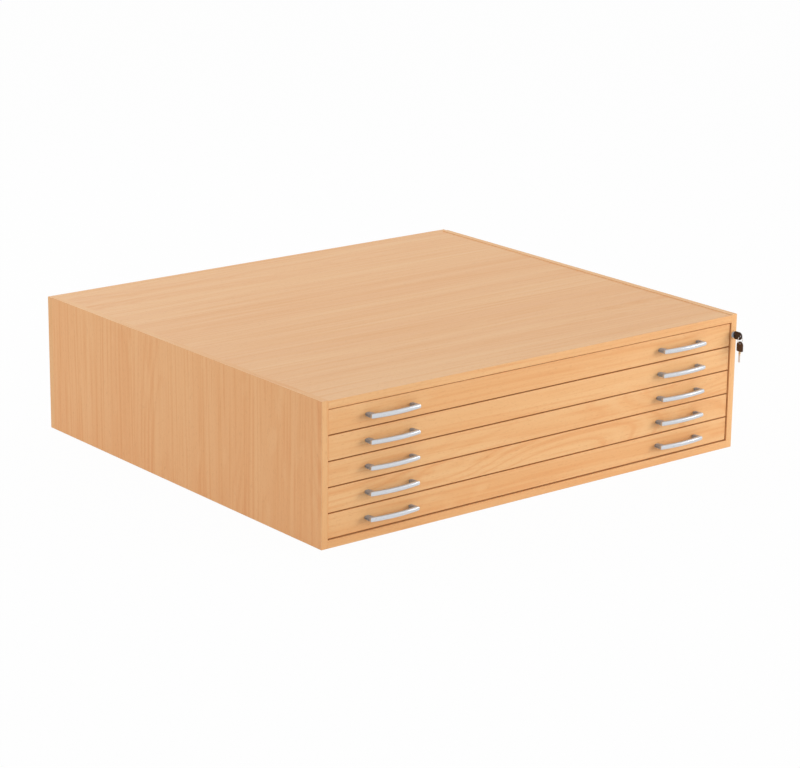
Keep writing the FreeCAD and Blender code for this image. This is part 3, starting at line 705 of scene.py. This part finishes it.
class CHEST_OT_handles(Operator):
    """Makes the ten bow handles"""

    bl_idname = "chest.handles"
    bl_label = "Bow handles"

    def bow(self, look, height):
        """One handle in plan on the line y = 0, drawn up to its height and rounded."""
        outer, inner = (look.spacing + look.leg) / 2, (look.spacing - look.leg) / 2
        large = (outer ** 2 + look.bow ** 2) / (2 * look.bow)
        small = large - look.bar
        middle = (0.0, large - look.reach - look.bow)
        inner_place = middle[1] - math.sqrt(small ** 2 - inner ** 2)
        bm = bmesh.new()
        first = bm.verts.new((-outer, 0.0, -height / 2))
        knee = drawn_to(bm, first, (-outer, -look.reach))
        knee = swung(bm, knee, middle, 2 * math.asin(outer / large), BOW_STEPS)
        foot = drawn_to(bm, drawn_to(bm, knee, (outer, 0.0)), (inner, 0.0))
        hollows = [drawn_to(bm, foot, (inner, inner_place))]
        hollows.append(swung(bm, hollows[0], middle, -2 * math.asin(inner / small), HOLLOW_STEPS))
        last = drawn_to(bm, hollows[1], (-inner, 0.0))
        bm.edges.new((last, first))
        bmesh.ops.edgenet_fill(bm, edges=bm.edges[:])
        bevel(bm, hollows, look.inner_round, segments=4, affect="VERTICES")
        extruded(bm, bm.faces[:], (0, 0, height))
        bmesh.ops.recalc_face_normals(bm, faces=bm.faces[:])
        feet = [vert for vert in bm.verts if vert.co.y > -NEAR]
        bmesh.ops.scale(bm, vec=(1.0, 1.0, look.foot / height), verts=feet)
        rims = {True: [], False: []}
        for edge in bm.edges:
            start, end = (vert.co for vert in edge.verts)
            if start.z * end.z > 0 and min(start.y, end.y) < -NEAR:
                place = (start + end) / 2
                in_front = math.hypot(place.x, place.y - middle[1]) > large - look.bar / 2
                rims[in_front or abs(place.x) > look.spacing / 2].append(edge)
        bevel(bm, rims[True], look.crown, segments=6)
        bevel(bm, [edge for edge in rims[False] if edge.is_valid], look.edge_round, segments=3)
        return bm

    def execute(self, context):
        look = context.scene.chest_handles
        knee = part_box("drawer_1_front")[0].y - look.reach + look.bar
        fade = Fade(look.leg_tone, Y, knee - look.fade_out, knee + look.fade_in, metal=0.2)
        satin = brushed(
            "handle_satin_silver", look.satin, X, rough=(0.27, 0.31), metal=0.80, fade=fade, wear=0.12
        )
        length = look.spacing + look.leg
        for count in DRAWERS:
            low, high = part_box(f"drawer_{count}_handles")
            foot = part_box(f"drawer_{count}_front")[0].y
            bm = self.bow(look, high.z - low.z)
            seat = (low.x + length / 2, foot, (low.z + high.z) / 2)
            bmesh.ops.translate(bm, vec=seat, verts=bm.verts)
            repeated(bm, everything(bm), (high.x - low.x - length, 0, 0))
            smooth(bm)
            nodes = (f"drawer_{count}_handles",)
            piece(f"handles_{count}", bm, f"drawer_{count}", [satin], nodes)
        return {"FINISHED"}


class CHEST_OT_slides(Operator):
    """Finishes the members of the telescopic slides and makes their buffers"""

    bl_idname = "chest.slides"
    bl_label = "Slides"

    def buffers(self, look, count, plastic):
        """Makes the plastic buffers in the front ends of a drawer's two slide members."""
        low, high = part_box(f"drawer_{count}_rails")
        crown, height = high.x - look.rail_depth, (low.z + high.z) / 2
        wide, rise = BUFFER_WIDTH * look.rail_depth, BUFFER_HEIGHT * (high.z - low.z) / 2
        front = low.y + look.buffer_setback
        bm = block(
            Vector((crown, front, height - rise)),
            Vector((crown + wide, front + look.buffer_length, height + rise)),
        )
        corners = [edge for edge in bm.edges if abs(edge.verts[0].co.x - edge.verts[1].co.x) > wide / 2]
        bevel(bm, corners, look.buffer_round, segments=4)
        ends = [face for face in bm.faces if abs(face.normal.x) > SQUARE_ON]
        bmesh.ops.inset_individual(bm, faces=ends, thickness=look.buffer_rim, depth=-look.buffer_hollow)
        repeated(bm, everything(bm), (-2 * crown - wide, 0, 0))
        smooth(bm)
        piece(f"slide_buffers_{count}", bm, f"drawer_{count}", [plastic])

    def execute(self, context):
        look = context.scene.chest_hardware
        zinc = {
            name: brushed(f"slide_{name}_zinc", shaded(look.zinc, share), Y, rough=(0.28, 0.44))
            for name, share in ZINC_SHARES.items()
        }
        plastic = moulded("slide_buffer_plastic", look.buffer)
        for side in ("left", "right"):
            dress(f"{side}_case_rails", zinc["outer"])
        for count in DRAWERS:
            dress(f"middle_rails_{count}", zinc["middle"])
            dress(f"drawer_{count}_rails", zinc["inner"])
            self.buffers(look, count, plastic)
        return {"FINISHED"}


class CHEST_OT_lock(Operator):
    """Makes the lock's collar and finishes the plug, the locking bar, its pegs, plates and catches"""

    bl_idname = "chest.lock"
    bl_label = "Lock"

    def collar(self, look, nickel):
        """Turns the collar with its housing and seats it in the edge of the right side."""
        low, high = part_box("lock_housing")
        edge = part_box("right_side_panel")[0].y
        radius, proud, length = (high.x - low.x) / 2, edge - low.y, high.y - edge
        bore, housing = look.plug_bore, radius - look.collar_step
        profile = (
            (bore, -length), (bore, COLLAR_MOUTH * proud), (bore + look.bore_chamfer, proud),
            *((share * radius, rise * proud) for share, rise in COLLAR_RIM),
            (housing, 0.0), (housing, -length), (bore, -length),
        )
        bm = bmesh.new()
        lathe(bm, profile, COLLAR_STEPS)
        stand(bm, Vector(((low.x + high.x) / 2, edge, (low.z + high.z) / 2)), (0, -1, 0))
        smooth(bm)
        piece("lock_collar", bm, "case", [nickel], ("lock_housing",))

    def execute(self, context):
        look = context.scene.chest_hardware
        rough, metal = (0.40, 0.54), 0.45
        self.collar(look, brushed("lock_nickel_plate", look.nickel, Z, rough, metal))
        # Darker nickel for the plug: painted shade in the collar's bore.
        plug = shaded(look.nickel, PLUG_PAINTED_SHADE)
        dress("lock_plug", brushed("lock_plug_nickel", plug, Z, rough, metal))
        dress("lock_bar", brushed("lock_bar_drawn", look.bar_metal, Z, rough=(0.30, 0.42)))
        steel = plated("peg_steel", look.zinc, cell=300.0)
        for node in ["lock_bar_pegs", "lock_bar_guides"] + [f"drawer_{count}_catch" for count in DRAWERS]:
            dress(node, steel)
        return {"FINISHED"}


class CHEST_OT_keys(Operator):
    """Makes the moulded key heads and the split ring, and finishes the blades"""

    bl_idname = "chest.keys"
    bl_label = "Keys"

    def head(self, look, length, width, thick):
        """A key head in plan: square at the blade, round at the far end, with an eye and a raised grip."""
        half = width / 2
        eye_place = look.key_eye_margin - length
        large = (half ** 2 + look.key_bulge ** 2) / (2 * look.key_bulge)
        bm = bmesh.new()
        first = bm.verts.new((-half, 0.0, -thick / 2))
        corner = drawn_to(bm, first, (half, 0.0))
        start = drawn_to(bm, corner, (half, look.key_bulge - length))
        end = swung(bm, start, (0.0, large - length), -2 * math.asin(half / large), HEAD_STEPS)
        bm.edges.new((end, first))
        bmesh.ops.edgenet_fill(bm, edges=bm.edges[:])
        bevel(bm, [first, corner], look.key_corner, segments=5, affect="VERTICES")
        bmesh.ops.delete(bm, geom=bm.faces[:], context="FACES_ONLY")
        eye = Matrix.Translation((0.0, eye_place, -thick / 2))
        bmesh.ops.create_circle(bm, segments=ROUND_STEPS, radius=look.key_eye, matrix=eye)
        bmesh.ops.triangle_fill(bm, edges=bm.edges[:], use_beauty=True, use_dissolve=False)
        extruded(bm, bm.faces[:], (0, 0, thick))
        bmesh.ops.recalc_face_normals(bm, faces=bm.faces[:])
        rims = [
            edge for edge in bm.edges
            if edge.calc_face_angle(0.0) > CORNER and abs(edge.verts[0].co.z - edge.verts[1].co.z) < NEAR
        ]
        bevel(bm, rims, look.key_edge, segments=3)
        for side in (-1, 1):
            middle = (0.0, eye_place / 2 + look.grip_shift, side * thick / 2)
            self.grip(bm, look, GRIP_RADIUS * width, middle, side)
        return bm

    def grip(self, bm, look, radius, middle, side):
        """Raises a flat oval with sloping edges on one side of a key head."""
        place = Matrix.Translation(middle)
        oval = bmesh.ops.create_circle(bm, cap_ends=True, segments=ROUND_STEPS, radius=radius, matrix=place)
        rim = oval["verts"]
        bmesh.ops.scale(bm, vec=GRIP_STRETCH, verts=rim, space=place.inverted())
        faces = list({face for vert in rim for face in vert.link_faces})
        raised = extruded(bm, faces, (0, 0, side * look.grip_height))
        verts = list({vert for face in raised for vert in face.verts})
        bmesh.ops.scale(bm, vec=GRIP_TAPER, verts=verts, space=place.inverted())

    def ring(self, look):
        """Winds the split ring in two turns, with its ends closed."""
        low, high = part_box("key_ring")
        middle, radius = (low + high) / 2, (high.x - low.x) / 2
        wire, depth = look.ring_wire, (high.y - low.y) / RING_TURNS - look.ring_gap
        bm = bmesh.new()
        bmesh.ops.create_grid(bm, x_segments=1, y_segments=1, size=0.5)
        bmesh.ops.scale(bm, vec=(wire, depth, 1.0), verts=bm.verts)
        bevel(bm, bm.verts[:], look.ring_round, segments=2, affect="VERTICES")
        start = Vector((middle.x + radius - wire / 2, low.y + depth / 2, middle.z))
        bmesh.ops.translate(bm, vec=start, verts=bm.verts)
        climb = (RING_TURNS - 1) * (depth + look.ring_gap)
        bmesh.ops.spin(
            bm, geom=everything(bm), cent=middle, axis=(0, 1, 0), angle=RING_TURNS * 2 * math.pi,
            steps=RING_STEPS, dvec=(0.0, climb / RING_STEPS, 0.0), use_merge=False, use_duplicate=False,
        )
        smooth(bm)
        plate = plated("ring_plate", look.ring_metal, cell=400.0, rough=(0.12, 0.24))
        piece("split_ring", bm, "key_ring", [plate], ("key_ring",))

    def execute(self, context):
        look = context.scene.chest_hardware
        for name, shade in KEY_PAINTED_LIGHT.items():
            low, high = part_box(f"{name}_head")
            middle = (low + high) / 2
            hanging = high.z - low.z > high.y - low.y
            width, length = sorted((high.z - low.z, high.y - low.y))
            bm = self.head(look, length, width, high.x - low.x)
            seat = Vector((middle.x, middle.y, low.z)) if hanging else Vector((middle.x, high.y, middle.z))
            turn = HEAD_UP if hanging else HEAD_OUT
            bmesh.ops.transform(bm, matrix=Matrix.Translation(seat) @ turn, verts=bm.verts)
            smooth(bm)
            # Each key's plastic is darkened or lightened by its share: painted shade on the key in the lock,
            # painted light on the spare key.
            plastic = moulded(f"{name}_plastic", shaded(look.key_plastic, shade))
            piece(f"{name}_bow", bm, name, [plastic], (f"{name}_head",))
            # The spare key's blade fades to a painted highlight at its end.
            bright = Fade(look.key_tip_painted_highlight, Z, low.z - look.tip_start, low.z - look.tip_end, metal=0.0)
            brass = brushed(
                f"{name}_blade_metal", look.key_metal, Y, rough=(0.20, 0.34), metal=0.4,
                fade=bright if hanging else None,
            )
            dress(f"{name}_blade", brass)
        self.ring(look)
        return {"FINISHED"}


class CHEST_OT_fasteners(Operator):
    """Makes the screw heads of the handles, slides and back"""

    bl_idname = "chest.fasteners"
    bl_label = "Screws"

    def handle_screws(self, look, handle, count, zinc):
        """Sets a screw behind each leg of a drawer's two handles."""
        low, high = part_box(f"drawer_{count}_handles")
        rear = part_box(f"drawer_{count}_front")[1].y
        legs = [low.x + handle.leg / 2, high.x - handle.leg / 2]
        legs += [legs[0] + handle.spacing, legs[1] - handle.spacing]
        seats = [Vector((leg, rear, (low.z + high.z) / 2)) for leg in sorted(legs)]
        screws(f"handle_screws_{count}", f"drawer_{count}", seats, (0, 1, 0), look.handle_screw, zinc)

    def rail_screws(self, look, count, zinc):
        """Sets a row of screws in the groove of each of a drawer's slide members."""
        low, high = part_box(f"drawer_{count}_rails")
        crown, height = high.x - look.rail_depth, (low.z + high.z) / 2
        places = [low.y + share * (high.y - low.y) for share in RAIL_SCREW_PLACES]
        for name, side in (("left", -1), ("right", 1)):
            seats = [Vector((side * crown, place, height)) for place in places]
            label = f"{name}_rail_screws_{count}"
            screws(label, f"drawer_{count}", seats, (side, 0, 0), look.rail_screw, zinc)

    def back_screws(self, look, zinc):
        """Sets screws round the edge of the back."""
        low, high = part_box("back_panel")
        step = (high.x - low.x - 2 * look.back_end) / (BACK_ROW - 1)
        seats = []
        for part in range(BACK_ROW):
            across = low.x + look.back_end + part * step
            seats.append(Vector((across, high.y, low.z + look.back_edge)))
            seats.append(Vector((across, high.y, high.z - look.back_top)))
        for part in range(1, BACK_COLUMN + 1):
            rise = low.z + part * (high.z - low.z) / (BACK_COLUMN + 1)
            seats.append(Vector((low.x + look.back_edge, high.y, rise)))
            seats.append(Vector((high.x - look.back_edge, high.y, rise)))
        screws("back_screws", "case", seats, (0, 1, 0), look.small_screw, zinc)

    def execute(self, context):
        look = context.scene.chest_hardware
        zinc = plated("screw_zinc", look.zinc, cell=500.0)
        for count in DRAWERS:
            self.handle_screws(look, context.scene.chest_handles, count, zinc)
            self.rail_screws(look, count, zinc)
        self.back_screws(look, zinc)
        return {"FINISHED"}


class CHEST_OT_stage(Operator):
    """Makes the floor, the light and the camera"""

    bl_idname = "chest.stage"
    bl_label = "Stage"

    def seen(self, tree):
        """1 for what the camera sees, straight or in metal and glass, and 0 for the light on the chest."""
        path = tree.nodes.new("ShaderNodeLightPath")
        total = path.outputs["Is Camera Ray"]
        for name in ("Is Glossy Ray", "Is Transmission Ray"):
            both = tree.nodes.new("ShaderNodeMath")
            both.operation = "MAXIMUM"
            tree.links.new(total, both.inputs[0])
            tree.links.new(path.outputs[name], both.inputs[1])
            total = both.outputs[0]
        return total

    def lamp(self, context, name, watts):
        """An area light that stands, looks and measures as the table of lamps says."""
        place, aim, lengths = LAMPS[name]
        data = bpy.data.lights.new(name, "AREA")
        data.shape = "RECTANGLE"
        data.size, data.size_y = lengths
        data.energy = watts
        lamp = bpy.data.objects.new(name, data)
        lamp.location = place
        lamp.rotation_euler = (Vector(aim) - Vector(place)).to_track_quat("-Z", "Y").to_euler()
        lamp.visible_glossy = name != UNREFLECTED_LAMP
        context.scene.collection.objects.link(lamp)

    def floor(self, context, look):
        """A wide pale floor that shows the chest's shadow."""
        bm = bmesh.new()
        bmesh.ops.create_grid(bm, x_segments=1, y_segments=1, size=FLOOR_SIZE)
        bmesh.ops.translate(bm, vec=(0, 0, -FLOOR_DROP), verts=bm.verts)
        mesh = bpy.data.meshes.new("floor")
        bm.to_mesh(mesh)
        bm.free()
        floor = bpy.data.objects.new("floor", mesh)
        context.scene.collection.objects.link(floor)
        paint = Finish("floor_paint", Base_Color=(*look.floor, 1.0), Roughness=0.9, Specular_IOR_Level=0.1)
        white = paint.add("ShaderNodeEmission", {"Color": (*WHITE, 1.0), "Strength": 1.0})
        share = paint.times(self.seen(paint.tree), look.whiteness)
        both = paint.add("ShaderNodeMixShader", {0: share, 1: paint.shader.outputs[0], 2: white.outputs[0]})
        paint.tree.links.new(both.outputs[0], paint.tree.nodes["Material Output"].inputs["Surface"])
        mesh.materials.append(paint.material)

    def sky(self, context, look):
        """Even light all round, and plain white where it is seen."""
        world = bpy.data.worlds.new("studio")
        world.use_nodes = True
        context.scene.world = world
        tree = world.node_tree
        light = tree.nodes["Background"]
        light.inputs["Color"].default_value = (*WHITE, 1.0)
        light.inputs["Strength"].default_value = look.sky
        white = tree.nodes.new("ShaderNodeBackground")
        white.inputs["Color"].default_value = (*WHITE, 1.0)
        both = tree.nodes.new("ShaderNodeMixShader")
        tree.links.new(self.seen(tree), both.inputs[0])
        tree.links.new(light.outputs[0], both.inputs[1])
        tree.links.new(white.outputs[0], both.inputs[2])
        tree.links.new(both.outputs[0], tree.nodes["World Output"].inputs["Surface"])

    def camera(self, context, look):
        """The camera that stands where the photograph was taken."""
        data = bpy.data.cameras.new("camera")
        data.sensor_fit = "HORIZONTAL"
        data.sensor_width = SENSOR_WIDTH
        data.lens = look.lens
        camera = bpy.data.objects.new("camera", data)
        flat = Vector((math.sin(look.azimuth), -math.cos(look.azimuth), 0.0))
        back = flat * math.cos(look.elevation) + Vector((0.0, 0.0, math.sin(look.elevation)))
        right = Vector((math.cos(look.azimuth), math.sin(look.azimuth), 0.0))
        up = back.cross(right)
        side = right * math.cos(look.roll) + up * math.sin(look.roll)
        head = up * math.cos(look.roll) - right * math.sin(look.roll)
        camera.rotation_euler = Matrix((side, head, back)).transposed().to_euler()
        camera.location = look.camera_place
        context.scene.collection.objects.link(camera)
        context.scene.camera = camera

    def execute(self, context):
        look = context.scene.chest_stage
        self.floor(context, look)
        self.sky(context, look)
        for name in LAMPS:
            self.lamp(context, name, getattr(look, name))
        self.camera(context, look)
        context.scene.view_settings.view_transform = "Standard"
        return {"FINISHED"}


MAKERS = (
    CHEST_OT_case, CHEST_OT_fronts, CHEST_OT_boxes, CHEST_OT_handles, CHEST_OT_slides, CHEST_OT_lock,
    CHEST_OT_keys, CHEST_OT_fasteners, CHEST_OT_stage,
)
SETTINGS = {
    "chest_boards": BoardSettings,
    "chest_handles": HandleSettings,
    "chest_hardware": HardwareSettings,
    "chest_stage": StageSettings,
}


class CHEST_PT_makers(Panel):
    """Lists the chest's pieces with their sizes and colours."""

    bl_idname = "CHEST_PT_makers"
    bl_label = "Plan chest"
    bl_space_type = "VIEW_3D"
    bl_region_type = "UI"
    bl_category = "Plan chest"

    def draw(self, context):
        for maker in MAKERS:
            self.layout.operator(maker.bl_idname)
        for name, group in SETTINGS.items():
            area = self.layout.box()
            for value in group.__annotations__:
                area.prop(getattr(context.scene, name), value)


CLASSES = tuple(SETTINGS.values()) + MAKERS + (CHEST_PT_makers,)


def register():
    """Adds the classes and the scene's settings."""
    for each in CLASSES:
        bpy.utils.register_class(each)
    for name, group in SETTINGS.items():
        setattr(bpy.types.Scene, name, PointerProperty(type=group))


def unregister():
    """Takes the scene's settings and the classes away."""
    for name in SETTINGS:
        delattr(bpy.types.Scene, name)
    for each in reversed(CLASSES):
        bpy.utils.unregister_class(each)


def main():
    """Makes all pieces in order."""
    register()
    for make in (
        bpy.ops.chest.case, bpy.ops.chest.fronts, bpy.ops.chest.boxes, bpy.ops.chest.handles,
        bpy.ops.chest.slides, bpy.ops.chest.lock, bpy.ops.chest.keys, bpy.ops.chest.fasteners,
        bpy.ops.chest.stage,
    ):
        make()


if __name__ == "__main__":
    main()
